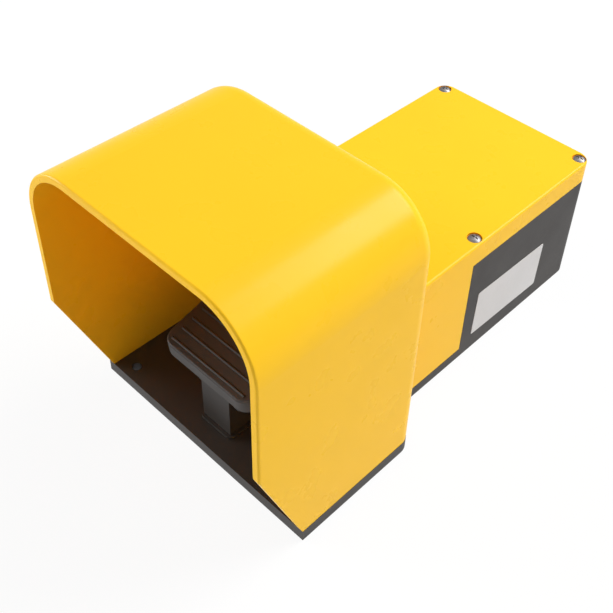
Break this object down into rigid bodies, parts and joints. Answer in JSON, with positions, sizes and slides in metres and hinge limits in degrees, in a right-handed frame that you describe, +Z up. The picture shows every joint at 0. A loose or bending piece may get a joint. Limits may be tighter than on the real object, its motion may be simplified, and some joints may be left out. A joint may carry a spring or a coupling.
{
  "type": "guarded foot switch",
  "caption": "Industrial foot switch: a yellow hood guards a black toe pedal whose plunger and rocker work sealed contact blocks in a rear compartment.",
  "frame": {"origin": "centre of the bounding box in plan, at the floor under the rubber feet", "axes": "+X to the right of someone facing the open front, +Y from the open front to the rear wall with the cable entry, +Z up"},
  "size_m": [0.16, 0.2994, 0.1756],
  "materials": {
    "black_housing": "satin, fine grain",
    "yellow_cover": "satin gloss",
    "black_rubber": "matt",
    "screw_steel": "zinc plated",
    "shaft_steel": "ground",
    "spring_steel": "drawn wire",
    "natural_nylon": "satin",
    "brass": "bright",
    "block_grey": "satin",
    "red_button": "satin"
  },
  "bodies": {
    "housing": {"base_tray": "black_housing", "cover_hood": "yellow_cover", "lid_gasket": "black_rubber", "lid_screws": "screw_steel", "hood_screws": "screw_steel", "rubber_feet": "black_rubber", "pivot_shaft": "shaft_steel", "shaft_clips": "spring_steel", "rest_buffer": "black_rubber", "plunger_boot": "black_rubber", "guide_bush": "brass", "return_spring": "spring_steel", "rocker_shaft": "shaft_steel", "rocker_clips": "spring_steel", "block_bracket": "shaft_steel", "bracket_screws": "screw_steel", "block_screws": "screw_steel", "contact_block_no": "block_grey", "contact_block_nc": "block_grey", "bridge_spring_no": "spring_steel", "bridge_spring_nc": "spring_steel", "fixed_contacts_no": "brass", "fixed_contacts_nc": "brass", "terminal_clamps": "screw_steel", "terminal_screws": "screw_steel"},
    "pedal": {"pedal": "black_housing", "pedal_bushes": "natural_nylon"},
    "plunger": {"plunger": "natural_nylon"},
    "rocker": {"rocker_lever": "shaft_steel"},
    "push_no": {"block_plunger_no": "red_button", "contact_bridge_no": "brass"},
    "push_nc": {"block_plunger_nc": "red_button", "contact_bridge_nc": "brass"}
  },
  "joints": [
    {"name": "pedal_hinge", "type": "hinge", "parent": "housing", "child": "pedal", "pos_m": [0, -0.09725, 0.036], "axis": [-1, 0, 0], "range_deg": [0, 9], "stiffness_Nm_per_rad": 5, "springref_deg": -6.88},
    {"name": "plunger_slide", "type": "slide", "parent": "housing", "child": "plunger", "axis": [0, 0, -1], "range_m": [0, 0.0063], "deforming": ["plunger_boot", "return_spring"]},
    {"name": "rocker_hinge", "type": "hinge", "parent": "housing", "child": "rocker", "pos_m": [0, -0.02325, 0.0271], "axis": [1, 0, 0], "range_deg": [0, 9.1]},
    {"name": "push_no_slide", "type": "slide", "parent": "housing", "child": "push_no", "axis": [0, 0, 1], "range_m": [0, 0.0032], "deforming": ["bridge_spring_no"]},
    {"name": "push_nc_slide", "type": "slide", "parent": "housing", "child": "push_nc", "axis": [0, 0, 1], "range_m": [0, 0.0032], "deforming": ["bridge_spring_nc"]}
  ],
  "couplings": [
    {"joint": "plunger_slide", "follows": "pedal_hinge", "m_per_rad": 0.0401},
    {"joint": "rocker_hinge", "follows": "pedal_hinge", "ratio": 1.0025},
    {"joint": "push_no_slide", "follows": "pedal_hinge", "m_per_rad": 0.02005},
    {"joint": "push_nc_slide", "follows": "pedal_hinge", "m_per_rad": 0.02005}
  ]
}
